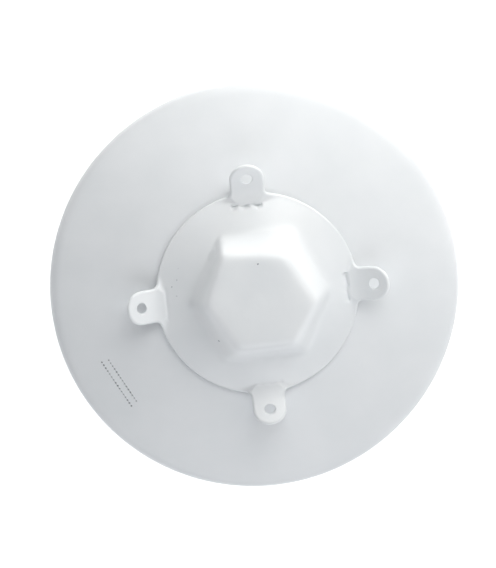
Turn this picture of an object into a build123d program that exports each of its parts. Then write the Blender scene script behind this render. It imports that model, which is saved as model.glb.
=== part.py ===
from build123d import *
import math
import os

# Mechanical spot heat detector with a twist-on mounting base, in millimetres.
# +Z leaves the face, towards the room. The origin is the centre of the base's flat back.

# Mounting base
base_radius = 50.0
base_height = 10.0
base_wall = 2.0
base_floor = 2.5
cable_radius = 11.0
slot_spacing = 70.0
slot_length = 14.0
slot_radius = 2.2
slot_pad_radius = 5.0

# Bayonet between base and head
bayonet_count = 3
bayonet_start = 90.0
hook_inner = 44.7
hook_low = 6.8
hook_high = 8.8
hook_half_angle = 12.0
stop_angle = 3.0
lug_outer = 47.4
lug_low = 4.5
lug_high = 6.5
lug_half_angle = 11.0

# Face plate: a domed shell with a short rim, a rounded shoulder and a flat land for the cap
face_radius = 58.0
rim_bottom = 11.0
rim_top = 14.0
shoulder_radius = 54.2
shoulder_z = 17.2
dome_middle_radius = 42.0
dome_middle_z = 19.5
land_radius = 28.8
land_z = 21.6
face_wall = 2.0
mouth_radius = 21.2

# Heat cap: a pressed cone with a six-sided crown and four turned-up ears
cap_radius = 28.0
cap_sheet = 1.0
cap_edge_z = 23.0
cone_slope = 0.33
crown_sides = 6
crown_low_z = 24.5
crown_low_flat = 18.6
crown_top_z = 35.6
crown_top_flat = 13.4
crown_edge_fillet = 2.0
crown_corner_fillet = 4.0
ear_count = 4
ear_angle = 33.0
ear_half_width = 4.65
ear_root = 24.8
ear_bend_radius = 9.0
ear_hole_x = 31.9
ear_hole_radius = 1.45
seal_inner = 25.0
seal_outer = 27.7
slit_inner = 24.1
slit_outer = 24.8
slit_half_width = 3.6
tongue_inner = 23.0
tongue_half_width = 2.4
tongue_foot = 26.6

# Chassis inside the head
plate_low = 12.0
plate_high = 14.5
skirt_outer = 44.0
skirt_inner = 41.6
well_inner = 17.6
well_outer = 20.6
diaphragm_z = 20.6
diaphragm_sheet = 0.3
seal_height = 1.0
retainer_height = 1.2
retainer_angles = (30, 150, 270)
vent_reach = 15.9
vent_angle = 90
case_screw_radius = 38.0
case_screw_angles = (0, 90, 180, 270)
case_screw_tip = 17.6
boss_radius = 3.2
boss_top = 18.9
boss_bore_top = 17.8
terminal_radius = 31.0
terminal_angles = (45, 135, 225, 315)
terminal_bore = 1.75
bus_sheet = 1.0
cover_low = 8.4
cover_radius = 19.5
cover_wall = 1.2
cover_screw_reach = 12.0
rib_angles = (45, 135, 225, 315)

# Contact set in the well
leaf_z = 17.2
leaf_sheet = 0.3
leaf_width = 5.0
leaf_hinge_x = -11.0
leaf_tip_x = 10.5
rivet_x = -13.6
rivet_bore = 1.2
bush_bore = 2.5
contact_x = 8.0
contact_gap = 0.8
running_gap = 0.02

# Fixed-temperature plunger under the crown
sleeve_low = 25.8
sleeve_bore = 2.6
sleeve_radius = 3.6
sleeve_flange_radius = 6.0
sleeve_wall = 0.8
alloy_radius = 1.3
alloy_height = 0.7
plunger_radius = 1.1
plunger_tip_z = 22.9
collar_low = 28.0
collar_high = 29.0
spring_wire = 0.22
spring_coil_radius = 1.8
spring_turns = 4.5

ground = (Align.CENTER, Align.CENTER, Align.MIN)


def disc(radius, low, high):
    """A solid round disc about Z, from one height to another."""
    return Pos(0, 0, low) * Cylinder(radius, high - low, align=ground)


def ring(outer, inner, low, high):
    """A plain ring about Z."""
    return disc(outer, low, high) - disc(inner, low - 1, high + 1)


def block(x0, x1, y0, y1, z0, z1):
    """A box between three pairs of planes."""
    corner = (Align.MIN, Align.MIN, Align.MIN)
    return Pos(x0, y0, z0) * Box(x1 - x0, y1 - y0, z1 - z0, align=corner)


def peg(x, y, radius, low, high):
    """A round peg standing at x, y."""
    return Pos(x, y, 0) * disc(radius, low, high)


def sector(outer, inner, low, high, start, end):
    """A piece of a ring between two angles in degrees."""
    turn = Rot(0, 0, start)
    profile = Plane.XZ * make_face(
        Polyline((inner, low), (outer, low), (outer, high), (inner, high), close=True)
    )
    return turn * revolve(profile, axis=Axis.Z, revolution_arc=end - start)


def around(shape, count, start=0.0):
    """Copies of a shape, evenly turned about Z."""
    return [Rot(0, 0, start + 360.0 * i / count) * shape for i in range(count)]


def polar(radius, angle):
    """A point on a circle about Z."""
    return radius * math.cos(math.radians(angle)), radius * math.sin(math.radians(angle))


def save(name, *shapes):
    """One STEP file for one named node."""
    shape = shapes[0] if len(shapes) == 1 else Compound(children=list(shapes))
    shape.label = name
    export_step(shape, os.path.join("parts", name + ".step"))


def cone_z(radius):
    """Height of the cap's outer cone at a radius."""
    return cap_edge_z + (cap_radius - radius) * cone_slope


def slotted_hole(x, low, high, radius, length):
    """A hole with round ends that runs along X."""
    half = length / 2 - radius
    span = block(x - half, x + half, -radius, radius, low, high)
    return span + peg(x - half, 0, radius, low, high) + peg(x + half, 0, radius, low, high)


def mounting_base():
    """A shallow cup with three inward hooks, two box-screw slots and a cable hole."""
    cup = disc(base_radius, 0, base_height)
    cup = chamfer(cup.edges().group_by(Axis.Z)[-1], 0.8)
    cup -= disc(base_radius - base_wall, base_floor, base_height + 1)
    pad = slot_length / 2 + 2.5
    for x in (-slot_spacing / 2, slot_spacing / 2):
        cup += slotted_hole(x, base_floor, base_floor + 1.0, slot_pad_radius, 2 * pad)
    cup += ring(cable_radius + 2.0, cable_radius, base_floor, base_floor + 1.0)
    rib = block(cable_radius + 1, base_radius - base_wall + 0.3, -0.7, 0.7, base_floor, 3.6)
    for angle in rib_angles:
        cup += Rot(0, 0, angle) * rib
    wall_inside = base_radius - base_wall + 0.3
    for i in range(bayonet_count):
        middle = bayonet_start + i * 360.0 / bayonet_count
        first = middle - hook_half_angle
        cup += sector(wall_inside, hook_inner, hook_low, hook_high, first, middle + hook_half_angle)
        cup += sector(wall_inside, hook_inner, base_floor, hook_high, first - stop_angle, first)
    for x in (-slot_spacing / 2, slot_spacing / 2):
        cup -= slotted_hole(x, -1, base_floor + 2, slot_radius, slot_length)
    cup -= disc(cable_radius, -1, base_floor + 2)
    # Two shallow break-out panels in the wall for surface-run cable
    panel = block(base_radius - 0.8, base_radius + 1, -6, 6, 0.8, 8.0)
    for cut in around(panel, 2):
        cup -= cut
    return cup


def chassis():
    """The moulded carrier: skirt with bayonet lugs, plate, contact well and posts."""
    body = disc(skirt_outer, lug_low, plate_high) - disc(skirt_inner, lug_low - 1, plate_low)
    body += ring(well_outer, well_inner, plate_high, diaphragm_z)
    for i in range(bayonet_count):
        middle = bayonet_start + i * 360.0 / bayonet_count
        body += sector(
            lug_outer, skirt_outer - 0.4, lug_low, lug_high,
            middle - lug_half_angle, middle + lug_half_angle,
        )
    body += block(rivet_x - 2.4, leaf_hinge_x, -3, 3, plate_high, leaf_z)
    body += peg(contact_x, 0, 3.4, plate_high, plate_high + 0.5)
    # Openings for the rivet, the contact bush, the terminal screws and the case screws
    body -= peg(rivet_x, 0, rivet_bore, 0, 30)
    body -= peg(contact_x, 0, bush_bore, 0, 15.1)
    for angle in terminal_angles:
        body -= peg(*polar(terminal_radius, angle), terminal_bore, 0, 15)
    for angle in case_screw_angles:
        body -= peg(*polar(case_screw_radius, angle), 1.6, 0, 15)
    for angle in retainer_angles:
        body -= peg(*polar((well_inner + well_outer) / 2, angle), 0.8, 17.5, 21)
    for side in (-1, 1):
        body -= peg(0, side * cover_screw_reach, 1.0, 0, 14)
    # Wire ways cut in the skirt beside each terminal
    notch = block(skirt_inner - 1, skirt_outer + 1, -4, 4, lug_high + 0.5, 10.5)
    for cut in around(notch, 4, 45.0):
        body -= cut
    return body


def face_profile(wall):
    """Half section of the face plate's outside, taken in by a wall thickness."""
    outer, land = face_radius - wall, land_z - wall
    rim = Line((outer, rim_bottom), (outer, rim_top - wall * 0.3))
    bend_x = outer - (face_radius - shoulder_radius) * 0.28
    bend_z = rim_top + (shoulder_z - wall - rim_top) * 0.66
    shoulder_x = shoulder_radius - wall * 0.25
    shoulder = ThreePointArc(rim @ 1, (bend_x, bend_z), (shoulder_x, shoulder_z - wall))
    dome = ThreePointArc(
        shoulder @ 1, (dome_middle_radius, dome_middle_z - wall), (land_radius, land)
    )
    land_line = Line(dome @ 1, (0, land))
    axis = Line((0, land), (0, rim_bottom))
    back = Line((0, rim_bottom), (outer, rim_bottom))
    return make_face([rim, shoulder, dome, land_line, axis, back])


def face_plate():
    """The large white disc of the face, with screw bosses and slots for the cap's tongues."""
    shell = revolve(Plane.XZ * face_profile(0), axis=Axis.Z)
    inside = revolve(Plane.XZ * face_profile(face_wall), axis=Axis.Z)
    solid = shell - inside - disc(mouth_radius, 0, land_z + 1)
    for angle in case_screw_angles:
        boss = peg(*polar(case_screw_radius, angle), boss_radius, plate_high, boss_top)
        solid += boss - peg(*polar(case_screw_radius, angle), 1.25, plate_high - 1, boss_bore_top)
    slot = block(
        tongue_inner - 0.2, tongue_inner + cap_sheet + 0.2,
        -tongue_half_width - 0.3, tongue_half_width + 0.3, land_z - 4, land_z + 1,
    )
    for cut in around(slot, ear_count):
        solid -= cut
    return solid


def crown(inset):
    """The six-sided crown, tapered, with its corners and top edge rounded."""
    low = RegularPolygon(crown_low_flat - inset * 1.12, crown_sides, major_radius=False)
    high = RegularPolygon(crown_top_flat - inset * 1.12, crown_sides, major_radius=False)
    sections = [Pos(0, 0, crown_low_z - inset) * low, Pos(0, 0, crown_top_z - inset) * high]
    body = loft(sections)
    corners = body.edges().filter_by(lambda e: abs(e.tangent_at(0.5).Z) > 0.3)
    body = fillet(corners, crown_corner_fillet - inset * 0.5)
    return fillet(body.edges().group_by(Axis.Z)[-1], crown_edge_fillet - inset * 0.5)


def cap_form(inset, low):
    """Cone and crown as one solid, taken in by the sheet's thickness."""
    drop = inset * math.sqrt(1 + cone_slope**2)
    top_radius = 16.0
    edge = cap_radius + inset
    profile = make_face(
        Polyline(
            (0, low), (edge, low), (edge, cone_z(edge) - drop),
            (top_radius, cone_z(top_radius) - drop), (0, cone_z(top_radius) - drop), close=True,
        )
    )
    return revolve(Plane.XZ * profile, axis=Axis.Z) + crown(inset)


def ear_end():
    """Where the ear's bend ends and its flat begins, and the hole's centre, on the top face."""
    turn = math.radians(ear_angle)
    x = ear_root + ear_bend_radius * math.sin(turn)
    z = cone_z(ear_root) + ear_bend_radius * (1 - math.cos(turn))
    return (x, z), (ear_hole_x, z + (ear_hole_x - x) * math.tan(turn))


def ear():
    """One ear along +X: a strip that leaves the cone level, bends up and ends round."""
    turn = math.radians(ear_angle)
    (bend_x, bend_z), (hole_x, hole_z) = ear_end()
    along = Vector(math.cos(turn), math.sin(turn))
    across = Vector(math.sin(turn), -math.cos(turn)) * cap_sheet
    start = Vector(ear_root, cone_z(ear_root))
    reach = Vector(hole_x, hole_z) + along * (ear_half_width + 1)
    half = math.radians(ear_angle / 2)
    middle = start + Vector(math.sin(half), 1 - math.cos(half)) * ear_bend_radius
    low_middle = middle + Vector(math.sin(half), -math.cos(half)) * cap_sheet
    bend = Vector(bend_x, bend_z)
    low_start = start - Vector(0, cap_sheet)
    edges = [
        ThreePointArc(start, middle, bend),
        Line(bend, reach),
        Line(reach, reach + across),
        Line(reach + across, bend + across),
        ThreePointArc(bend + across, low_middle, low_start),
        Line(low_start, start),
    ]
    strip = extrude(Plane.XZ * make_face(edges), amount=ear_half_width, both=True)
    flat = Plane(
        origin=(hole_x, 0, hole_z), x_dir=(along.X, 0, along.Y), z_dir=(-along.Y, 0, along.X)
    )
    outline = Circle(ear_half_width) + Pos(-8, 0) * Rectangle(16, 2 * ear_half_width)
    shape = strip & extrude(flat * outline, amount=12, both=True)
    return shape - extrude(flat * Circle(ear_hole_radius), amount=4, both=True)


def heat_cap():
    """The pressed cap in one sheet: cone, crown, ears, slits and clinched tongues."""
    seat = cap_edge_z - cap_sheet
    solid = cap_form(0, seat) - cap_form(cap_sheet, seat - 4)
    slit = block(slit_inner, slit_outer, -slit_half_width, slit_half_width, seat, 27)
    for cut in around(slit, ear_count):
        solid -= cut
    foot_top = land_z - face_wall - 0.05
    edge = tongue_inner + cap_sheet
    tongue = block(
        tongue_inner, edge, -tongue_half_width, tongue_half_width,
        foot_top - cap_sheet, cone_z(edge) - 0.3,
    )
    tongue += block(
        tongue_inner, tongue_foot, -tongue_half_width, tongue_half_width,
        foot_top - cap_sheet, foot_top,
    )
    for piece in around(ear(), ear_count) + around(tongue, ear_count):
        solid += piece
    return solid


def cap_seal():
    """A soft ring between the cap's cone and the face plate's land."""
    drop = cap_sheet * math.sqrt(1 + cone_slope**2) + running_gap
    inner, outer = seal_inner, seal_outer
    profile = make_face(
        Polyline(
            (inner, land_z), (outer, land_z),
            (outer, cone_z(outer) - drop), (inner, cone_z(inner) - drop), close=True,
        )
    )
    return revolve(Plane.XZ * profile, axis=Axis.Z)


def diaphragm():
    """A thin disc with three round corrugations and a centre hole for its pin."""
    low, sheet, wave = diaphragm_z, diaphragm_sheet, 0.7
    lines = []
    for level in (low, low + sheet):
        radii = [1.0, 3.4]
        points = [(r, level) for r in radii]
        lines.append(Line(points[0], points[1]))
        last = points[1]
        for crest in (5.2, 8.8, 12.4):
            end = (crest + 1.8, level)
            lines.append(ThreePointArc(last, (crest, level - wave), end))
            last = end
        lines.append(Line(last, (well_outer, level)))
    lines.append(Line((1.0, low), (1.0, low + sheet)))
    lines.append(Line((well_outer, low), (well_outer, low + sheet)))
    disc_form = revolve(Plane.XZ * make_face(lines), axis=Axis.Z)
    disc_form -= peg(*polar(vent_reach, vent_angle), 0.9, low - 1, low + 2)
    return drilled(disc_form)


def drilled(shape):
    """Three clearance holes for the retainer screws."""
    for angle in retainer_angles:
        shape -= peg(*polar((well_inner + well_outer) / 2, angle), 0.85, 0, 40)
    return shape


def vent_plug():
    """The calibrated leak: a small brass plug with a fine bore, in the diaphragm's flat rim."""
    x, y = polar(vent_reach, vent_angle)
    low = diaphragm_z - 0.5
    plug = peg(x, y, 0.88, low, low + 1.6) + peg(x, y, 1.3, diaphragm_z + 0.32, low + 1.6)
    return plug - peg(x, y, 0.2, 0, 40)


def retainer_screws():
    """Three small screws that hold the diaphragm's clamp ring."""
    top = diaphragm_z + diaphragm_sheet + seal_height + retainer_height
    screws = []
    for angle in retainer_angles:
        x, y = polar((well_inner + well_outer) / 2, angle)
        screw = peg(x, y, 0.78, 17.6, top) + peg(x, y, 1.5, top, top + 0.7)
        screws.append(screw - block(x - 2, x + 2, y - 0.2, y + 0.2, top + 0.35, top + 1))
    return screws


def diaphragm_pin():
    """The insulating pin at the diaphragm's centre, which presses the contact blade."""
    low = leaf_z + leaf_sheet + running_gap
    above = diaphragm_z + diaphragm_sheet + running_gap
    pin = peg(0, 0, 1.5, low + 0.8, diaphragm_z - running_gap) + peg(0, 0, 0.5, low, low + 0.8)
    return pin + peg(0, 0, 0.95, low, above) + peg(0, 0, 2.2, above, above + 0.96)


def contact_blade():
    """The moving blade of the contact, from its clamped edge to just past the contact."""
    start = leaf_hinge_x + running_gap
    top = leaf_z + leaf_sheet
    blade = block(start, leaf_tip_x, -leaf_width / 2, leaf_width / 2, leaf_z, top)
    return blade - block(-8, -3, -0.8, 0.8, leaf_z - 1, top + 1)


def moving_contact():
    """The silver contact under the blade's free end."""
    low = leaf_z - 0.6
    button = peg(contact_x, 0, 1.4, low, leaf_z)
    return fillet(button.edges().group_by(Axis.Z)[0], 0.2)


def leaf_foot():
    """The clamped end of the blade's strip, under the rivet."""
    foot = block(rivet_x - 2.4, leaf_hinge_x, -2.5, 2.5, leaf_z, leaf_z + leaf_sheet)
    return foot - peg(rivet_x, 0, rivet_bore, 0, 30)


def leaf_rivet():
    """The hollow rivet that clamps the strip and reaches the line bus."""
    top = leaf_z + leaf_sheet
    low = plate_low - bus_sheet
    rivet = peg(rivet_x, 0, 1.18, low - 0.5, top + 0.6) + peg(rivet_x, 0, 2.2, top, top + 0.6)
    rivet += peg(rivet_x, 0, 2.0, low - 0.6, low)
    return rivet - peg(rivet_x, 0, 0.5, low - 1, top + 1)


def contact_bush():
    """The threaded brass bush that carries the calibration screw."""
    bush = peg(contact_x, 0, 2.48, plate_low - bus_sheet - 0.4, 15.0)
    return bush - peg(contact_x, 0, 1.5, 0, 20)


def calibration_screw():
    """The screw whose end sets the contact gap, with a driver slot at the back."""
    low = 10.3
    high = leaf_z - 0.6 - contact_gap - 0.3
    screw = peg(contact_x, 0, 1.48, low, high)
    return screw - block(contact_x - 2, contact_x + 2, -0.25, 0.25, low - 1, low + 0.7)


def fixed_contact():
    """The silver face on the end of the calibration screw."""
    high = leaf_z - 0.6 - contact_gap
    return peg(contact_x, 0, 1.3, high - 0.3, high)


def strap(points, width):
    """A flat strap through a list of points on the underside of the plate."""
    low, high = plate_low - bus_sheet, plate_low
    shape = None
    for (x0, y0), (x1, y1) in zip(points, points[1:]):
        length = math.hypot(x1 - x0, y1 - y0)
        turn = math.degrees(math.atan2(y1 - y0, x1 - x0))
        bar = block(0, length, -width / 2, width / 2, low, high)
        piece = Pos(x0, y0, 0) * Rot(0, 0, turn) * bar + peg(x0, y0, width / 2, low, high)
        shape = piece if shape is None else shape + piece
    return shape + peg(*points[-1], width / 2, low, high)


def bus(start, end, inner_point, hole):
    """A bus strip that joins two terminals and one part of the contact set."""
    low, high = plate_low - bus_sheet, plate_low
    arc = sector(terminal_radius + 2.5, terminal_radius - 2.5, low, high, start, end)
    spur_start = polar(terminal_radius, end)
    shape = arc + strap([spur_start, inner_point], 4.4)
    for angle in (start, end):
        x, y = polar(terminal_radius, angle)
        pad = Rot(0, 0, angle) * block(
            terminal_radius - 4, terminal_radius + 4, -4, 4, low, high
        )
        shape += pad
        shape -= peg(x, y, terminal_bore, 0, 40)
    return shape - peg(*inner_point, hole, 0, 40)


def terminal_screw(angle):
    """A pan-head terminal screw, head down, with a cross slot."""
    x, y = polar(terminal_radius, angle)
    head_top = plate_low - bus_sheet - 0.8
    head_low = head_top - 2.0
    head = fillet(peg(x, y, 3.1, head_low, head_top).edges().group_by(Axis.Z)[0], 0.8)
    screw = head + peg(x, y, 1.7, head_low + 1, plate_high + 1.5)
    slot = block(-2.2, 2.2, -0.4, 0.4, head_low - 1, head_low + 1.0)
    return screw - Pos(x, y, 0) * slot - Pos(x, y, 0) * Rot(0, 0, 90) * slot


def terminal_clamp(angle):
    """The square clamp plate under a terminal screw's head."""
    low = plate_low - bus_sheet - 0.8
    plate = block(-3.8, 3.8, -3.8, 3.8, low, low + 0.8) - disc(1.8, 0, 40)
    plate = chamfer(plate.edges().filter_by(Axis.Z).filter_by(lambda e: e.length < 1), 0.6)
    return Rot(0, 0, angle) * Pos(terminal_radius, 0, 0) * plate


def case_screw(angle):
    """A screw that holds the chassis to the face plate's boss."""
    x, y = polar(case_screw_radius, angle)
    head = fillet(peg(x, y, 2.7, plate_low - 1.8, plate_low).edges().group_by(Axis.Z)[0], 0.7)
    screw = head + peg(x, y, 1.2, plate_low - 1, case_screw_tip)
    slot = block(-1.8, 1.8, -0.35, 0.35, plate_low - 3, plate_low - 0.9)
    return screw - Pos(x, y, 0) * slot - Pos(x, y, 0) * Rot(0, 0, 90) * slot


def contact_cover():
    """The cup over the back of the contact set, notched for the two bus spurs."""
    low = cover_low
    cup = fillet(disc(cover_radius, low, plate_low).edges().group_by(Axis.Z)[0], 1.0)
    cup -= disc(cover_radius - cover_wall, low + cover_wall, plate_low + 1)
    for side in (-1, 1):
        cup += peg(0, side * cover_screw_reach, 2.4, low, plate_low)
        cup -= peg(0, side * cover_screw_reach, 1.1, 0, 20)
    low_cut = plate_low - bus_sheet - 0.2
    for end, target in ((135, (rivet_x, 0)), (315, (contact_x, 0))):
        x, y = polar(terminal_radius, end)
        turn = math.degrees(math.atan2(target[1] - y, target[0] - x))
        cut = block(0, 20, -2.5, 2.5, low_cut, plate_low + 1)
        cup -= Pos(x, y, 0) * Rot(0, 0, turn) * cut
    return cup


def cover_screw(side):
    """A small pan-head screw that holds the contact cover."""
    y, low = side * cover_screw_reach, cover_low
    head = fillet(peg(0, y, 1.9, low - 1.1, low).edges().group_by(Axis.Z)[0], 0.5)
    screw = head + peg(0, y, 0.95, low - 0.5, 13.6)
    return screw - block(-1.3, 1.3, y - 0.25, y + 0.25, low - 2, low - 0.5)


def sleeve_roof():
    """Height of the sleeve's closed end, seen from inside its bore."""
    return crown_top_z - cap_sheet - running_gap - sleeve_wall


def fusible_sleeve():
    """The brass sleeve under the crown that guides the plunger and seats its spring."""
    top = sleeve_roof() + sleeve_wall
    body = disc(sleeve_radius, sleeve_low, top) + disc(sleeve_flange_radius, sleeve_roof(), top)
    body -= disc(sleeve_bore, sleeve_low + sleeve_wall, sleeve_roof())
    return body - disc(plunger_radius + 0.08, sleeve_low - 1, sleeve_low + 2)


def fusible_alloy():
    """The pellet of low-melting alloy that bonds the plunger's end to the sleeve."""
    return disc(alloy_radius, sleeve_roof() - alloy_height, sleeve_roof())


def plunger():
    """The spring-driven rod that the alloy releases."""
    top = sleeve_roof() - alloy_height - running_gap
    rod = disc(plunger_radius, plunger_tip_z, top) + disc(2.4, collar_low, collar_high)
    return fillet(rod.edges().group_by(Axis.Z)[0], 0.3)


def plunger_spring():
    """The compression spring between the sleeve's closed end and the plunger's collar."""
    low = collar_high + spring_wire + running_gap
    high = sleeve_roof() - spring_wire - running_gap
    path = Pos(0, 0, low) * Helix((high - low) / spring_turns, high - low, spring_coil_radius)
    section = Plane(origin=path @ 0, z_dir=path % 0) * Circle(spring_wire)
    return sweep(section, path=path, is_frenet=True)


os.makedirs("parts", exist_ok=True)
seal_low = diaphragm_z + diaphragm_sheet
retainer_low = seal_low + seal_height
save("mounting_base", mounting_base())
save("chassis", chassis())
save("face_plate", face_plate())
save("heat_cap", heat_cap())
save("cap_seal", cap_seal())
save("diaphragm", diaphragm())
save("diaphragm_seal", drilled(ring(well_outer, well_inner, seal_low, retainer_low)))
save(
    "retainer_ring",
    drilled(ring(well_outer, well_inner, retainer_low, retainer_low + retainer_height)),
)
save("retainer_screws", *retainer_screws())
save("vent_plug", vent_plug())
save("diaphragm_pin", diaphragm_pin())
save("contact_blade", contact_blade())
save("moving_contact", moving_contact())
save("leaf_foot", leaf_foot())
save("leaf_rivet", leaf_rivet())
save("contact_bush", contact_bush())
save("calibration_screw", calibration_screw())
save("fixed_contact", fixed_contact())
save("line_bus", bus(45, 135, (rivet_x, 0), rivet_bore))
save("common_bus", bus(225, 315, (contact_x, 0), bush_bore))
save("terminal_screws", *[terminal_screw(a) for a in terminal_angles])
save("terminal_clamps", *[terminal_clamp(a) for a in terminal_angles])
save("case_screws", *[case_screw(a) for a in case_screw_angles])
save("contact_cover", contact_cover())
save("cover_screws", *[cover_screw(s) for s in (-1, 1)])
save("fusible_sleeve", fusible_sleeve())
save("fusible_alloy", fusible_alloy())
save("plunger", plunger())
save("plunger_spring", plunger_spring())
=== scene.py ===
import math

import bpy
import numpy as np
from mathutils import Matrix, Vector


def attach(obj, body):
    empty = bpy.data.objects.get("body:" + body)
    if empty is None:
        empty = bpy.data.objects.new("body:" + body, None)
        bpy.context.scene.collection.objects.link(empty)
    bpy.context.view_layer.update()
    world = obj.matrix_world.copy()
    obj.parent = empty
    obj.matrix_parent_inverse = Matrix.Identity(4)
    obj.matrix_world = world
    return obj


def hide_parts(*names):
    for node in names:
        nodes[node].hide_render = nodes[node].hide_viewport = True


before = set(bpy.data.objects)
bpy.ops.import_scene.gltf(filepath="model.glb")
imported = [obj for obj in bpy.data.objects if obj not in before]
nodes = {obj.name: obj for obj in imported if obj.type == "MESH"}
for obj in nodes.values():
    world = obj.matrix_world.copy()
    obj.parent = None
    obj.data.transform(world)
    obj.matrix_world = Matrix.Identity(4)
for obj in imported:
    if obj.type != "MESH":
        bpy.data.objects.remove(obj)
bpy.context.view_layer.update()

# Heat detector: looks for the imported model. Sizes in the dictionaries are millimetres unless
# a note says otherwise, and meshFrom turns them into metres.

mm = 0.001


# Points are rows of x, y, z in millimetres; quads and tris are rows of point numbers.
def meshFrom(name, points, quads, tris=None, sharpAngle=None):
    tris = np.zeros((0, 3), int) if tris is None else tris
    corners = np.concatenate([quads.ravel(), tris.ravel()]).astype(np.int32)
    starts = np.concatenate([np.arange(len(quads)) * 4, len(quads) * 4 + np.arange(len(tris)) * 3])
    mesh = bpy.data.meshes.new(name)
    mesh.vertices.add(len(points))
    mesh.vertices.foreach_set("co", (np.asarray(points) * mm).astype(np.float32).ravel())
    mesh.loops.add(len(corners))
    mesh.loops.foreach_set("vertex_index", corners)
    mesh.polygons.add(len(starts))
    mesh.polygons.foreach_set("loop_start", starts.astype(np.int32))
    mesh.polygons.foreach_set("use_smooth", np.ones(len(starts), bool))
    mesh.update()
    mesh.validate()
    if sharpAngle:
        mesh.set_sharp_from_angle(angle=math.radians(sharpAngle))
    return mesh


# Puts a mesh in the scene as a piece that rides on a body.
def addPiece(name, mesh, body, finish, replaced=()):
    piece = bpy.data.objects.new(name, mesh)
    bpy.context.scene.collection.objects.link(piece)
    mesh.materials.append(finish)
    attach(piece, body)
    if replaced:
        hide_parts(*replaced)
    return piece


# Quads of a grid of rows by columns whose columns close on themselves.
def closedGrid(rows, columns):
    row = np.arange(rows - 1)[:, None] * columns
    here = np.arange(columns)[None, :]
    following = (here + 1) % columns
    beyond = row + columns
    return np.stack([row + here, row + following, beyond + following, beyond + here], -1).reshape(-1, 4)


# s(t) = 3t^2 - 2t^3 between two limits, flat outside them.
def ease(value, low, high):
    t = np.clip((value - low) / (high - low), 0, 1)
    return t * t * (3 - 2 * t)


# Smooth maximum of the last axis: w ln(sum of exp(v / w)).
def softMax(values, width):
    top = values.max(-1, keepdims=True)
    w = np.asarray(width)[..., None]
    return top[..., 0] + width * np.log(np.exp((values - top) / w).sum(-1))


def softMin(values, width):
    return -softMax(-values, width)


# A finish: colour varied by broad noise, roughness varied by middle noise, and a bump of
# fine noise over a slow swell. Scales are in waves per metre.
def makeFinish(name, s):
    finish = bpy.data.materials.new(name)
    finish.use_nodes = True
    tree = finish.node_tree
    shader = tree.nodes["Principled BSDF"]
    shader.inputs["Metallic"].default_value = s.get("metal", 0.0)
    shader.inputs["IOR"].default_value = s.get("ior", 1.5)
    shader.inputs["Specular IOR Level"].default_value = s.get("specular", 0.5)
    shader.inputs["Coat Weight"].default_value = s.get("coat", 0.0)
    shader.inputs["Coat Roughness"].default_value = s.get("coatRough", 0.1)
    place = tree.nodes.new("ShaderNodeTexCoord")
    stretch = tree.nodes.new("ShaderNodeMapping")
    stretch.inputs["Scale"].default_value = s.get("stretch", (1, 1, 1))
    tree.links.new(place.outputs["Object"], stretch.inputs["Vector"])

    def noise(scale, detail, rough=0.5):
        node = tree.nodes.new("ShaderNodeTexNoise")
        node.inputs["Scale"].default_value = scale
        node.inputs["Detail"].default_value = detail
        node.inputs["Roughness"].default_value = rough
        tree.links.new(stretch.outputs["Vector"], node.inputs["Vector"])
        return node.outputs["Fac"]

    tint = tree.nodes.new("ShaderNodeValToRGB")
    tint.color_ramp.elements[0].position = 0.32
    tint.color_ramp.elements[1].position = 0.68
    tint.color_ramp.elements[0].color = (*s["dark"], 1)
    tint.color_ramp.elements[1].color = (*s["light"], 1)
    tree.links.new(noise(s.get("tintScale", 60), 3), tint.inputs["Fac"])
    tree.links.new(tint.outputs["Color"], shader.inputs["Base Color"])

    gloss = tree.nodes.new("ShaderNodeMapRange")
    gloss.inputs["From Min"].default_value = 0.3
    gloss.inputs["From Max"].default_value = 0.7
    gloss.inputs["To Min"].default_value = s["rough"][0]
    gloss.inputs["To Max"].default_value = s["rough"][1]
    tree.links.new(noise(s.get("glossScale", 300), 4), gloss.inputs["Value"])
    tree.links.new(gloss.outputs["Result"], shader.inputs["Roughness"])

    last = None
    for scale, detail, strength, depth in s["bumps"]:
        bump = tree.nodes.new("ShaderNodeBump")
        bump.inputs["Strength"].default_value = strength
        bump.inputs["Distance"].default_value = depth * mm
        tree.links.new(noise(scale, detail), bump.inputs["Height"])
        if last:
            tree.links.new(last.outputs["Normal"], bump.inputs["Normal"])
        last = bump
    tree.links.new(last.outputs["Normal"], shader.inputs["Normal"])
    return finish


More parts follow.
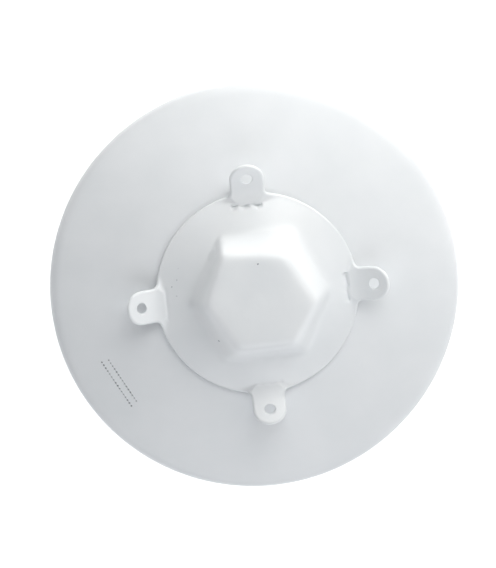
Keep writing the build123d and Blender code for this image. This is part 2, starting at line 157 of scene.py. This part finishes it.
finishes = {
    "capEnamel": dict(dark=(0.78, 0.80, 0.815), light=(0.83, 0.845, 0.855), rough=(0.30, 0.40),
                      bumps=[(180, 2, 0.25, 0.25), (1500, 2, 0.18, 0.03)], coat=0.25, coatRough=0.12),
    "faceWhite": dict(dark=(0.775, 0.795, 0.81), light=(0.815, 0.83, 0.845), rough=(0.36, 0.46),
                      bumps=[(45, 2, 0.12, 0.5), (1900, 2, 0.12, 0.02)], coat=0.10, coatRough=0.2),
    "baseWhite": dict(dark=(0.70, 0.71, 0.71), light=(0.76, 0.77, 0.77), rough=(0.48, 0.60),
                      bumps=[(2600, 3, 0.25, 0.03)]),
    "chassisWhite": dict(dark=(0.62, 0.63, 0.62), light=(0.68, 0.69, 0.67), rough=(0.5, 0.62),
                         bumps=[(2400, 3, 0.25, 0.03)]),
    "paleSilicone": dict(dark=(0.60, 0.61, 0.60), light=(0.68, 0.69, 0.68), rough=(0.55, 0.7),
                         bumps=[(1600, 3, 0.3, 0.04)]),
    "blackRubber": dict(dark=(0.012, 0.012, 0.012), light=(0.03, 0.03, 0.03), rough=(0.7, 0.85),
                        bumps=[(1600, 3, 0.4, 0.05)]),
    "blackMoulding": dict(dark=(0.015, 0.015, 0.017), light=(0.03, 0.03, 0.033), rough=(0.4, 0.55),
                          bumps=[(2200, 3, 0.3, 0.03)]),
    "turnedBrass": dict(dark=(0.50, 0.34, 0.13), light=(0.66, 0.47, 0.20), rough=(0.22, 0.38), metal=1.0,
                        stretch=(0.3, 0.3, 4), glossScale=900, bumps=[(2500, 2, 0.2, 0.02)]),
    "bronzeStrip": dict(dark=(0.55, 0.31, 0.16), light=(0.68, 0.42, 0.24), rough=(0.25, 0.4), metal=1.0,
                        stretch=(0.25, 3, 1), glossScale=900, bumps=[(1800, 2, 0.2, 0.02)]),
    "tinnedStrip": dict(dark=(0.55, 0.50, 0.40), light=(0.72, 0.69, 0.62), rough=(0.3, 0.45), metal=1.0,
                        tintScale=250, bumps=[(900, 3, 0.25, 0.03)]),
    "zincSteel": dict(dark=(0.46, 0.47, 0.48), light=(0.62, 0.63, 0.64), rough=(0.28, 0.45), metal=1.0,
                      tintScale=400, bumps=[(1500, 3, 0.2, 0.02)]),
    "springWire": dict(dark=(0.40, 0.40, 0.41), light=(0.55, 0.55, 0.56), rough=(0.2, 0.35), metal=1.0,
                       bumps=[(2500, 2, 0.2, 0.01)]),
    "turnedAluminium": dict(dark=(0.62, 0.63, 0.64), light=(0.74, 0.75, 0.76), rough=(0.25, 0.4), metal=1.0,
                            stretch=(0.4, 0.4, 4), bumps=[(2000, 2, 0.2, 0.02)]),
    "silver": dict(dark=(0.75, 0.74, 0.70), light=(0.86, 0.85, 0.82), rough=(0.15, 0.28), metal=1.0,
                   bumps=[(1500, 2, 0.1, 0.01)]),
    "dullAlloy": dict(dark=(0.33, 0.34, 0.36), light=(0.46, 0.47, 0.49), rough=(0.45, 0.6), metal=1.0,
                      bumps=[(1200, 3, 0.4, 0.05)]),
    "naturalAcetal": dict(dark=(0.72, 0.66, 0.52), light=(0.80, 0.75, 0.62), rough=(0.3, 0.42),
                          bumps=[(1800, 2, 0.15, 0.02)]),
    "thinDiaphragm": dict(dark=(0.60, 0.48, 0.26), light=(0.72, 0.60, 0.36), rough=(0.2, 0.35), metal=1.0,
                          bumps=[(700, 2, 0.2, 0.03)]),
    "printInk": dict(dark=(0.045, 0.047, 0.055), light=(0.09, 0.095, 0.105), rough=(0.5, 0.7),
                     tintScale=2500, bumps=[(4000, 2, 0.3, 0.01)]),
    "paintSpeck": dict(dark=(0.20, 0.21, 0.24), light=(0.40, 0.42, 0.46), rough=(0.4, 0.6),
                       tintScale=1500, bumps=[(3000, 2, 0.3, 0.02)]),
}
finish = {name: makeFinish(name, s) for name, s in finishes.items()}
print("finishes", len(finish))

nodeFinish = {
    "mounting_base": "baseWhite", "chassis": "chassisWhite", "cap_seal": "paleSilicone",
    "diaphragm": "thinDiaphragm", "diaphragm_seal": "blackRubber", "retainer_ring": "turnedAluminium",
    "retainer_screws": "zincSteel", "vent_plug": "turnedBrass", "diaphragm_pin": "naturalAcetal",
    "contact_blade": "bronzeStrip", "moving_contact": "silver", "leaf_foot": "bronzeStrip",
    "leaf_rivet": "turnedBrass", "contact_bush": "turnedBrass", "calibration_screw": "turnedBrass",
    "fixed_contact": "silver", "line_bus": "tinnedStrip", "common_bus": "tinnedStrip",
    "terminal_screws": "zincSteel", "terminal_clamps": "zincSteel", "case_screws": "zincSteel",
    "contact_cover": "blackMoulding", "cover_screws": "zincSteel", "fusible_sleeve": "turnedBrass",
    "fusible_alloy": "dullAlloy", "plunger": "turnedBrass", "plunger_spring": "springWire",
}
for node, finishName in nodeFinish.items():
    for place in nodes[node].material_slots:
        place.material = finish[finishName]
print("carried nodes", len(nodeFinish))


faceDisc = {
    "mouthRadius": 21.2, "landRadius": 28.8, "landHeight": 21.6,
    "domeSlope": 0.148, "domeCurve": 0.001,   # z falls by slope*d + curve*d^2 beyond the land
    "domeEnd": 54.2, "rimRadius": 58.0, "rimTop": 14.0, "rimBottom": 11.0,
    "shoulderPull": (2.3, 1.9),                   # the cubic's handles, along the dome and up from the rim
    "wall": 2.0, "lipRound": 0.5, "around": 360,
    "swell": 0.03, "swellFrom": 30, "swellFull": 56,   # slow unevenness of the moulding
}


# Height of the disc's outside: land, then z = land - a d - b d^2, with d measured past the land.
def faceHeight(r, s=faceDisc):
    past = np.maximum(r - s["landRadius"], 0)
    return s["landHeight"] - s["domeSlope"] * past - s["domeCurve"] * past**2


# The closed section of the shell: along the outside, round the shoulder on a cubic with the dome's
# slope at its start and a plumb end, down the rim, round its lip, and back along the inside.
def faceSection(s=faceDisc):
    top = np.linspace(s["mouthRadius"], s["domeEnd"], 70)
    endHeight = faceHeight(np.array([s["domeEnd"]]))[0]
    slope = s["domeSlope"] + 2 * s["domeCurve"] * (s["domeEnd"] - s["landRadius"])
    t = np.linspace(0, 1, 22)[1:]
    p0 = np.array([s["domeEnd"], endHeight])
    p3 = np.array([s["rimRadius"], s["rimTop"]])
    p1 = p0 + np.array([1, -slope]) * s["shoulderPull"][0]
    p2 = p3 + np.array([0, s["shoulderPull"][1]])
    u = t[:, None]
    bend = (1 - u)**3 * p0 + 3 * (1 - u)**2 * u * p1 + 3 * (1 - u) * u**2 * p2 + u**3 * p3
    outer = np.concatenate([np.stack([top, faceHeight(top)], -1), bend])
    angle = np.linspace(0, math.pi / 2, 5)[1:]
    e = s["lipRound"]
    lip = np.stack([s["rimRadius"] - e + e * np.cos(angle), s["rimBottom"] + e - e * np.sin(angle)], -1)
    wallInside = s["rimRadius"] - s["wall"]
    inner = np.array([[wallInside, s["rimBottom"]]])
    innerTop = np.linspace(s["domeEnd"] - 0.6, s["mouthRadius"], 24)
    inside = np.stack([innerTop, faceHeight(innerTop) - s["wall"]], -1)
    corner = np.array([[wallInside, s["rimTop"] - 0.6], [wallInside - 0.8, s["rimTop"] + 0.5]])
    return np.concatenate([outer, lip, inner, corner, inside])


# Slow unevenness of the moulding: swell (sin 2a + 0.6 sin 5a), growing from the land outward.
def faceSwell(r, angle, s=faceDisc):
    waves = np.sin(2 * angle + 0.6) + 0.6 * np.sin(5 * angle + 2.0)
    return s["swell"] * waves * ease(r, s["swellFrom"], s["swellFull"])


def faceTop(x, y):
    r = np.hypot(x, y)
    return faceHeight(r) + faceSwell(r, np.arctan2(y, x))


# The section carried round Z: x = r cos a, y = r sin a, with the slow unevenness in height.
def faceMesh(s=faceDisc):
    section = faceSection(s)
    angle = np.linspace(0, 2 * math.pi, s["around"], endpoint=False)
    r, z = section[:, 0][:, None], section[:, 1][:, None]
    rows = np.stack([r * np.cos(angle), r * np.sin(angle), z + faceSwell(r, angle) * (z > 12)], -1)
    count = len(section)
    here = np.arange(s["around"])
    last = (count - 1) * s["around"]
    closing = np.stack([last + here, last + (here + 1) % s["around"], (here + 1) % s["around"], here], -1)
    quads = np.concatenate([closedGrid(count, s["around"]), closing])
    return meshFrom("faceDisc", rows.reshape(-1, 3), quads[:, ::-1], sharpAngle=50)


facePiece = addPiece("face_disc", faceMesh(), "head", finish["faceWhite"], ["face_plate"])
print("face disc", len(facePiece.data.polygons))


heatCap = {
    "ringRadius": 28.0, "edgeHeight": 23.0, "coneSlope": 0.33,
    "sheet": 1.0, "edgeRound": 0.70, "underRound": 0.2, "hemLow": 21.66,
    # Crown: six sides, each with its direction and reach from the axis at the low and the top level
    "lowTurns": (26.8, 92.5, 149, 207, 271.5, 331), "lowReach": (17.4, 17.3, 16.3, 16.8, 16.6, 17.6),
    "topTurns": (29.5, 86, 154, 210, 271, 328), "topReach": (13.0, 13.3, 14.1, 13.5, 13.8, 14.5),
    "lowLevel": 26.0, "topLevel": 35.4,
    "cornerWidth": 2.4,
    "topWidth": (1.9, 2.6), "footWidth": (0.7, 2.0),   # blend widths on the crisp side and opposite
    "crispSide": 85,
    "dish": (1.2, 1.0, 1.5, 0.05),                # x, y, radius and depth of the crown's faint dimple
    "bead": dict(turn=271.5, at=17.2, low=-9.0, high=10.0, height=0.26, width=0.34),
    # Ears
    "earCount": 4, "earHalf": 4.65, "earRoot": 24.8, "earBend": 9.0, "earAngle": 33.0,
    "holeAt": 31.9, "holeRadius": 1.5, "holeBevel": 0.12, "neckRound": 1.4,
    "pull": (2.6, 4.9, 9.5),                      # half widths: strip's root, past the ring, pulled metal
    # A groove across each ear's root: place along and across, half length, depth, wall widths, waviness
    "creases": (
        dict(at=24.7, shift=-0.6, half=4.3, depth=0.55, inner=0.62, outer=0.36,
             wave=0.16, turn=1.2, vary=0.2),
        dict(at=24.5, shift=0.5, half=4.4, depth=0.62, inner=0.55, outer=0.36,
             wave=0.20, turn=2.6, vary=0.6),
        dict(at=25.2, shift=0.0, half=4.9, depth=0.10, inner=0.50, outer=0.40,
             wave=0.03, turn=4.0, vary=0.1),
        dict(at=25.3, shift=1.2, half=3.6, depth=0.14, inner=0.60, outer=0.40,
             wave=0.05, turn=5.2, vary=0.3),
    ),
    "around": 560, "middleRadius": 0.4,
    "evenUntil": 13, "steppedFrom": 23,           # even spokes inside, stepped along the outline outside
    "creaseBand": (23.2, 26.2),                   # closely spaced rings across the crease
    "innerRings": 48, "creaseRings": 30, "earRings": 22, "underRings": 10,
}


def coneHeight(r, s=heatCap):
    return s["edgeHeight"] + (s["ringRadius"] - r) * s["coneSlope"]


# 0 on the crown's crisp side and 1 opposite: (1 - cos(angle from the crisp side)) / 2, and a half
# at the middle.
def crownSoftness(x, y, s=heatCap):
    away = np.arctan2(y, x) - math.radians(s["crispSide"])
    return 0.5 - 0.5 * np.cos(away) * ease(np.hypot(x, y), 1, 6)


# Crown: side k is z_k = topLevel - (p_k - topReach_k) rise / (lowReach_k - topReach_k), where
# p_k = x cos a_k + y sin a_k and a_k goes from topTurn to lowTurn with the drop, found in three
# passes. The sides meet in a smooth minimum, and so do they and the flat top.
def crownHeight(x, y, s=heatCap):
    low, top = np.array(s["lowReach"]), np.array(s["topReach"])
    lowTurn, topTurn = np.radians(s["lowTurns"]), np.radians(s["topTurns"])
    rise = s["topLevel"] - s["lowLevel"]
    share = 0.5
    for _ in range(3):
        a = topTurn + (lowTurn - topTurn) * share
        reach = x[..., None] * np.cos(a) + y[..., None] * np.sin(a)
        share = np.clip((reach - top) / (low - top), -0.3, 1.3)
    sides = softMin(s["topLevel"] - (reach - top) * rise / (low - top), s["cornerWidth"])
    width = s["topWidth"][0] + (s["topWidth"][1] - s["topWidth"][0]) * crownSoftness(x, y)
    dx, dy, radius, depth = s["dish"]
    flat = s["topLevel"] - depth * np.exp(-((x - dx)**2 + (y - dy)**2) / radius**2)
    return softMin(np.stack([sides, flat], -1), width)


# Ear strip along its length: level arc of radius b up to the ear angle, then straight.
def earHeight(u, s=heatCap):
    turn = math.radians(s["earAngle"])
    b, root = s["earBend"], s["earRoot"]
    start = coneHeight(root)
    along = np.clip(u - root, 0, b * math.sin(turn))
    arc = start + b - np.sqrt(b * b - along**2)
    beyond = np.maximum(u - root - b * math.sin(turn), 0)
    return arc + beyond * math.tan(turn)


# Groove across an ear's root: -depth exp(-(off / wall)^2), with off measured from a wavy line and
# a wider wall on the crown's side, its depth varied along its length and ended crisply.
def creaseDepth(u, v, c):
    line = c["at"] + c["wave"] * (np.sin(1.5 * v + c["turn"]) + 0.4 * np.sin(3.1 * v + 2 * c["turn"]))
    off = u - line
    wall = np.where(off < 0, c["inner"], c["outer"])
    ends = 1 - ease(np.abs(v - c["shift"]), c["half"] - 0.5, c["half"])
    depth = c["depth"] * (1 + c["vary"] * np.sin(1.9 * v + 2.3 * c["turn"]))
    return depth * ends * np.exp(-(off / wall)**2) * (u > 20)


# Whole top face: the cone and crown, pulled up to the ears' strips beside each ear's line, with
# a groove across each ear's root and a small bead along one foot of the crown.
def capHeight(x, y, s=heatCap):
    r = np.hypot(x, y)
    cone = coneHeight(np.minimum(r, s["ringRadius"] + 3))
    foot = s["footWidth"][0] + (s["footWidth"][1] - s["footWidth"][0]) * crownSoftness(x, y)
    z = softMax(np.stack([crownHeight(x, y), cone], -1), foot)
    b = s["bead"]
    p = x * math.cos(math.radians(b["turn"])) + y * math.sin(math.radians(b["turn"]))
    bead = b["height"] * np.exp(-((p - b["at"]) / b["width"])**2)
    z = z + bead * ease(x, b["low"], b["low"] + 3) * (1 - ease(x, b["high"] - 2, b["high"]))
    lifted = z
    for k in range(s["earCount"]):
        a = k * 2 * math.pi / s["earCount"]
        u, v = x * math.cos(a) + y * math.sin(a), -x * math.sin(a) + y * math.cos(a)
        start, past, end = s["pull"]
        inner = start + (past - start) * ease(u, s["earRoot"], s["ringRadius"] + 0.3)
        near = (1 - ease(np.abs(v), inner, end)) * (u > 20)
        lift = earHeight(np.maximum(u, s["earRoot"])) - z
        onset = 0.9 + 2.4 * ease(np.abs(v), s["earHalf"] - 1.9, s["earHalf"] + 1.2)
        near = near * ease(u, s["earRoot"] - 0.1, s["earRoot"] + onset)
        lifted = lifted + near * lift - creaseDepth(u, v, s["creases"][k])
    return lifted


# Plan outline as R(angle) from the nearest ear's line: the ear's round end, its straight side,
# the neck's fillet and the ring.
def capOutline(angle, s=heatCap):
    step = 2 * math.pi / s["earCount"]
    t = np.abs((angle + step / 2) % step - step / 2)
    w, R, f, h = s["earHalf"], s["ringRadius"], s["neckRound"], s["holeAt"]
    endHalf = w * math.cos(math.radians(s["earAngle"]))
    c, d = np.cos(t), np.sin(t)
    # Round end: (r c - h)^2 / endHalf^2 + (r d)^2 / w^2 = 1
    qa, qb, qc = c**2 / endHalf**2 + d**2 / w**2, -2 * h * c / endHalf**2, h**2 / endHalf**2 - 1
    end = (-qb + np.sqrt(np.maximum(qb**2 - 4 * qa * qc, 0))) / (2 * qa)
    side = w / np.maximum(d, 1e-6)
    centre = np.array([math.sqrt((R + f)**2 - (w + f)**2), w + f])
    along = centre[0] * c + centre[1] * d
    fillet = along - np.sqrt(np.maximum(along**2 - centre @ centre + f * f, 0))
    touchSide, touchRing = math.atan2(w, centre[0]), math.atan2(centre[1], centre[0])
    touchEnd = math.atan2(w, h)
    return np.where(t > touchRing, R, np.where(t > touchSide, fillet, np.where(t > touchEnd, side, end)))


# Angles that step evenly along the outline's length.
def evenAngles(count):
    fine = np.linspace(0, 2 * math.pi, 40001)
    r = capOutline(fine)
    x, y = r * np.cos(fine), r * np.sin(fine)
    length = np.concatenate([[0], np.cumsum(np.hypot(np.diff(x), np.diff(y)))])
    return np.interp(np.arange(count) / count * length[-1], length, fine)


# Ear holes: the faces inside each hole leave the top and the underside, the points round them
# move onto circles, and a small bevel and a wall join the circles. Top row r faces row flip - r.
def cutHoles(points, quads, n, firstEar, topRows, flip, s=heatCap):
    turn = math.radians(s["earAngle"])
    row = np.arange(len(quads)) // n
    onEar = (row >= firstEar) & (row < topRows - 1)
    keep, walls, throats = np.ones(len(quads), bool), [], []
    count = len(points)
    for k in range(s["earCount"]):
        a = k * 2 * math.pi / s["earCount"]
        u = points[:, 0] * math.cos(a) + points[:, 1] * math.sin(a)
        v = -points[:, 0] * math.sin(a) + points[:, 1] * math.cos(a)
        du = (u - s["holeAt"]) / math.cos(turn)
        far = np.hypot(du, v)
        inside = onEar & (far[quads].mean(1) < s["holeRadius"] + 0.05)
        gone, kept = quads[inside], quads[onEar & ~inside]
        ring = np.intersect1d(gone, kept)
        facing = (flip - ring // n) * n + ring % n
        circles = []
        bore, bevel = s["holeRadius"], s["holeBevel"]
        for radius, depth in ((bore + bevel, 0), (bore, bevel), (bore, s["sheet"])):
            newU = s["holeAt"] + du[ring] * radius / far[ring] * math.cos(turn)
            newV = v[ring] * radius / far[ring]
            newX = newU * math.cos(a) - newV * math.sin(a)
            newY = newU * math.sin(a) + newV * math.cos(a)
            circles.append(np.stack([newX, newY, capHeight(newX, newY) - depth / math.cos(turn)], -1))
        points[ring], points[facing] = circles[0], circles[2]
        throat = count + sum(len(t) for t in throats) + np.arange(len(ring))
        throats.append(circles[1])
        edges = np.concatenate([kept[:, [i, (i + 1) % 4]] for i in range(4)])
        goneEdges = np.concatenate([gone[:, [(i + 1) % 4, i]] for i in range(4)])
        border = edges[np.isin(edges @ [count, 1], goneEdges @ [count, 1])]
        at = np.searchsorted(ring, border)
        walls.append(np.stack([border[:, 1], border[:, 0], throat[at[:, 0]], throat[at[:, 1]]], -1))
        walls.append(np.stack([throat[at[:, 1]], throat[at[:, 0]], facing[at[:, 0]], facing[at[:, 1]]], -1))
        cut = np.nonzero(inside)[0]
        keep[cut] = False
        keep[(flip - 1 - cut // n) * n + cut % n] = False
    return np.concatenate([points] + throats), np.concatenate([quads[keep]] + walls)


# The cap as one closed sheet: rings from the centre of the top out to the edge, round it,
# and back under to the centre.
def capMesh(s=heatCap):
    n = s["around"]
    even = np.linspace(0, 2 * math.pi, n, endpoint=False)
    stepped = evenAngles(n)
    e, sheet = s["edgeRound"], s["sheet"]
    middle, (creaseStart, creaseEnd) = s["middleRadius"], s["creaseBand"]
    inner = np.linspace(middle, creaseStart, s["innerRings"], endpoint=False)
    outer = np.linspace(creaseStart, creaseEnd, s["creaseRings"], endpoint=False)
    radii = np.concatenate([inner, outer])

    outline = capOutline(stepped)
    ox, oy = outline * np.cos(stepped), outline * np.sin(stepped)
    tx, ty = np.roll(ox, -1) - np.roll(ox, 1), np.roll(oy, -1) - np.roll(oy, 1)
    size = np.hypot(tx, ty)
    nx, ny = ty / size, -tx / size                # outward in plan

    mix = ease(radii, s["evenUntil"], s["steppedFrom"])[:, None]
    angle = (1 - mix) * even + mix * stepped
    edgeX, edgeY = ox - nx * e, oy - ny * e
    share = np.linspace(0, 1, s["earRings"])[:, None]
    startX, startY = creaseEnd * np.cos(stepped), creaseEnd * np.sin(stepped)
    earX, earY = startX + (edgeX - startX) * share, startY + (edgeY - startY) * share
    topX = np.concatenate([radii[:, None] * np.cos(angle), earX])
    topY = np.concatenate([radii[:, None] * np.sin(angle), earY])

    def dropAt(x, y):                             # sheet thickness measured plumb
        h = 0.05
        gx = (capHeight(x + h, y) - capHeight(x - h, y)) / (2 * h)
        gy = (capHeight(x, y + h) - capHeight(x, y - h)) / (2 * h)
        return np.sqrt(1 + np.minimum(gx**2 + gy**2, 1.2)) * sheet

    # Round edge: a wide round on top and a small one under it; the ring's hem comes down to the disc
    edgeZ, plain, low = capHeight(edgeX, edgeY), dropAt(edgeX, edgeY), s["underRound"]
    hem = 1 - ease(edgeZ, s["edgeHeight"] + 0.4, s["edgeHeight"] + 1.0)
    edgeDrop = plain + hem * np.maximum(edgeZ - s["hemLow"] - plain, 0)
    over, below = np.radians([15, 30, 45, 60, 75, 90])[:, None], np.radians([90, 45])[:, None]
    reach = np.concatenate([e * np.sin(over), e - low + low * np.sin(below)])
    drop = np.concatenate([e * (1 - np.cos(over)) + 0 * edgeDrop, edgeDrop - low + low * np.cos(below)])
    rimX, rimY, rimZ = edgeX + nx * reach, edgeY + ny * reach, edgeZ - drop

    underRadii = np.linspace(middle, creaseEnd, s["underRings"], endpoint=False)[::-1]
    mix = ease(underRadii, s["evenUntil"], s["steppedFrom"])[:, None]
    underAngle = (1 - mix) * even + mix * stepped
    underX = np.concatenate([earX[::-1], underRadii[:, None] * np.cos(underAngle)])
    underY = np.concatenate([earY[::-1], underRadii[:, None] * np.sin(underAngle)])

    x, y = np.concatenate([topX, rimX, underX]), np.concatenate([topY, rimY, underY])
    z = np.concatenate([capHeight(topX, topY), rimZ, capHeight(underX, underY) - dropAt(underX, underY)])
    points = np.stack([x, y, z], -1).reshape(-1, 3)
    flip = 2 * len(topX) + len(rimX) - 1
    points, quads = cutHoles(points, closedGrid(len(x), n), n, len(radii), len(topX), flip)

    # The two centres close with fans
    top, under, last = len(points), len(points) + 1, (len(x) - 1) * n
    centre = np.array([[0, 0, capHeight(np.zeros(1), np.zeros(1))[0]]])
    points = np.concatenate([points, centre, centre - [[0, 0, sheet]]])
    here = np.arange(n)
    fans = np.concatenate([
        np.stack([np.full(n, top), here, (here + 1) % n], -1),
        np.stack([np.full(n, under), last + (here + 1) % n, last + here], -1),
    ])
    return meshFrom("heatCap", points, quads[:, ::-1], fans, sharpAngle=55)


capPiece = addPiece("heat_cap_sheet", capMesh(), "head", finish["capEnamel"], ["heat_cap"])
print("heat cap", len(capPiece.data.polygons))


# Drops on a surface, each one closed: its centre stands at height over the surface, a ring at
# 0.65 of the radius at 0.8 of the height, an outer ring just under the surface and a point below.
def dropsMesh(name, surface, x, y, radius, height, segments=10, uneven=0.0):
    turn = np.linspace(0, 2 * math.pi, segments, endpoint=False)
    shape = 1 + uneven * (np.sin(2 * turn + 3 * x[:, None]) + 0.5 * np.sin(3 * turn + 5 * y[:, None]))

    def ring(share, lift):
        px = x[:, None] + radius[:, None] * share * shape * np.cos(turn)
        py = y[:, None] + radius[:, None] * share * shape * np.sin(turn)
        return np.stack([px, py, surface(px, py) + lift[:, None]], -1)

    middle = np.stack([x, y, surface(x, y)], -1)[:, None, :]
    up = np.array([0, 0, 1.0])
    points = np.concatenate([
        middle + up * height[:, None, None], ring(0.65, 0.8 * height), ring(1.0, 0 * height - 0.01),
        middle - up * 0.06,
    ], 1)
    first = (np.arange(len(x)) * (2 * segments + 2))[:, None]
    here, following = first + 1 + np.arange(segments), first + 1 + (np.arange(segments) + 1) % segments
    outerHere, outerFollowing = here + segments, following + segments
    quads = np.stack([here, outerHere, outerFollowing, following], -1)
    top = np.stack([first + 0 * here, here, following], -1)
    under = np.stack([first + 2 * segments + 1 + 0 * here, outerFollowing, outerHere], -1)
    tris = np.concatenate([top, under]).reshape(-1, 3)
    return meshFrom(name, points.reshape(-1, 3), quads.reshape(-1, 4), tris)


# The printed row on the disc: two staggered lines of dots. Each line is where its first dot is,
# along and across the row, the step to the next dot, and how many.
dottedRow = {
    "start": (-44.6, -14.4), "towards": (-37.2, -29.2),
    "lines": ((0.5, -1.0, 1.0, 0.0, 16), (1.0, 1.0, 1.0, 0.0, 15)),
    "dotRadius": 0.24, "dotHeight": 0.018,
}


def dottedRowMesh(s=dottedRow):
    dots = np.array([(a + i * da, c + i * dc) for a, c, da, dc, count in s["lines"] for i in range(count)])
    start = np.array(s["start"])
    along = np.array(s["towards"]) - start
    along /= np.hypot(*along)
    across = np.array([-along[1], along[0]])
    place = start + dots[:, :1] * along + dots[:, 1:] * across
    one = np.ones(len(dots))
    size = s["dotRadius"] * (1 + 0.18 * np.sin(7.3 * np.arange(len(dots))))
    return dropsMesh("dottedRow", faceTop, place[:, 0], place[:, 1], size, s["dotHeight"] * one, uneven=0.08)


rowPiece = addPiece("dotted_row", dottedRowMesh(), "head", finish["printInk"])

# Specks under the enamel: x, y, radius and height
capSpecks = {
    "specks": (
        (0.4, 9.9, 0.24, 0.14), (-12.0, -10.6, 0.24, 0.08), (-21.6, 6.5, 0.14, 0.05),
        (-23.2, 4.7, 0.17, 0.06), (-22.1, 2.1, 0.13, 0.05), (-20.9, 9.6, 0.10, 0.04),
    ),
}
specks = np.array(capSpecks["specks"])
speckMesh = dropsMesh("capSpecks", capHeight, *specks.T, segments=12, uneven=0.22)
speckPiece = addPiece("cap_specks", speckMesh, "head", finish["paintSpeck"])
print("dotted row", len(rowPiece.data.polygons), "specks", len(speckPiece.data.polygons))


camera = {
    "lean": (-0.031, 0.150), "distance": 325.0, "target": (-1.64, -0.45, 0.0),
    "roll": -5.89, "lens": 69.5,
}


# Looks along -(lean x, lean y, the rest) at the target, rolled about that line.
def placeCamera(s=camera):
    lx, ly = s["lean"]
    back = Vector((lx, ly, math.sqrt(1 - lx * lx - ly * ly)))
    up = Vector((0, 1, 0))
    up = (up - back * up.dot(back)).normalized()
    right = up.cross(back)
    c, d = math.cos(math.radians(s["roll"])), math.sin(math.radians(s["roll"]))
    rolledRight, rolledUp = c * right + d * up, c * up - d * right
    data = bpy.data.cameras.new("camera")
    data.sensor_width = 36
    data.lens = s["lens"]
    data.clip_start, data.clip_end = 0.01, 20
    eye = bpy.data.objects.new("camera", data)
    bpy.context.scene.collection.objects.link(eye)
    place = (Vector(s["target"]) + back * s["distance"]) * mm
    eye.matrix_world = Matrix((
        (rolledRight.x, rolledUp.x, back.x, place.x),
        (rolledRight.y, rolledUp.y, back.y, place.y),
        (rolledRight.z, rolledUp.z, back.z, place.z),
        (0, 0, 0, 1),
    ))
    bpy.context.scene.camera = eye


placeCamera()

# Disk lights: direction round Z and up from the plane in degrees, distance and size in metres
lights = {
    "key": dict(around=62, up=25, distance=0.28, size=0.30, power=0.68, colour=(1.0, 1.0, 0.975)),
    "top": dict(around=90, up=60, distance=0.80, size=0.60, power=1.75, colour=(0.965, 0.98, 1.0)),
    "front": dict(around=270, up=40, distance=0.80, size=0.70, power=2.25, colour=(0.955, 0.975, 1.0)),
    "frontRight": dict(around=315, up=15, distance=0.80, size=0.60, power=1.37, colour=(0.96, 0.98, 1.0)),
    "frontLeft": dict(around=225, up=25, distance=0.80, size=0.60, power=0.98, colour=(0.94, 0.965, 1.0)),
    "left": dict(around=135, up=30, distance=0.80, size=0.60, power=0.26, colour=(0.96, 0.98, 1.0)),
    "right": dict(around=0, up=40, distance=0.35, size=0.25, power=0.13, colour=(1.0, 0.99, 0.98)),
}
for name, s in lights.items():
    data = bpy.data.lights.new(name, "AREA")
    data.shape, data.size, data.energy, data.color = "DISK", s["size"], s["power"], s["colour"]
    lamp = bpy.data.objects.new(name, data)
    bpy.context.scene.collection.objects.link(lamp)
    a, e = math.radians(s["around"]), math.radians(s["up"])
    toward = Vector((math.cos(a) * math.cos(e), math.sin(a) * math.cos(e), math.sin(e)))
    lamp.location = toward * s["distance"] + Vector((0, 0, 0.02))
    lamp.rotation_mode = "QUATERNION"
    lamp.rotation_quaternion = toward.to_track_quat("Z", "Y")

world = bpy.data.worlds.new("studio")
world.use_nodes = True
world.node_tree.nodes["Background"].inputs["Color"].default_value = (0.86, 0.90, 0.97, 1)
world.node_tree.nodes["Background"].inputs["Strength"].default_value = 0.02
bpy.context.scene.world = world
bpy.context.scene.view_settings.view_transform = "Standard"

floorSettings = {"half": 3000.0, "level": -0.3, "glow": 0.72}
half, level = floorSettings["half"], floorSettings["level"]
corners = ((-half, -half), (half, -half), (half, half), (-half, half))
floorPoints = np.array([[x, y, level] for x, y in corners])
floor = bpy.data.objects.new("floor", meshFrom("floor", floorPoints, np.array([[0, 1, 2, 3]])))
bpy.context.scene.collection.objects.link(floor)
paper = makeFinish("paper", dict(dark=(0.90, 0.90, 0.90), light=(0.92, 0.92, 0.92), rough=(0.8, 0.9),
                                 specular=0.1, bumps=[(400, 2, 0.05, 0.05)]))
paperShader = paper.node_tree.nodes["Principled BSDF"]
paperShader.inputs["Emission Color"].default_value = (1, 1, 1, 1)
paperShader.inputs["Emission Strength"].default_value = floorSettings["glow"]
floor.data.materials.append(paper)
print("stage ready")
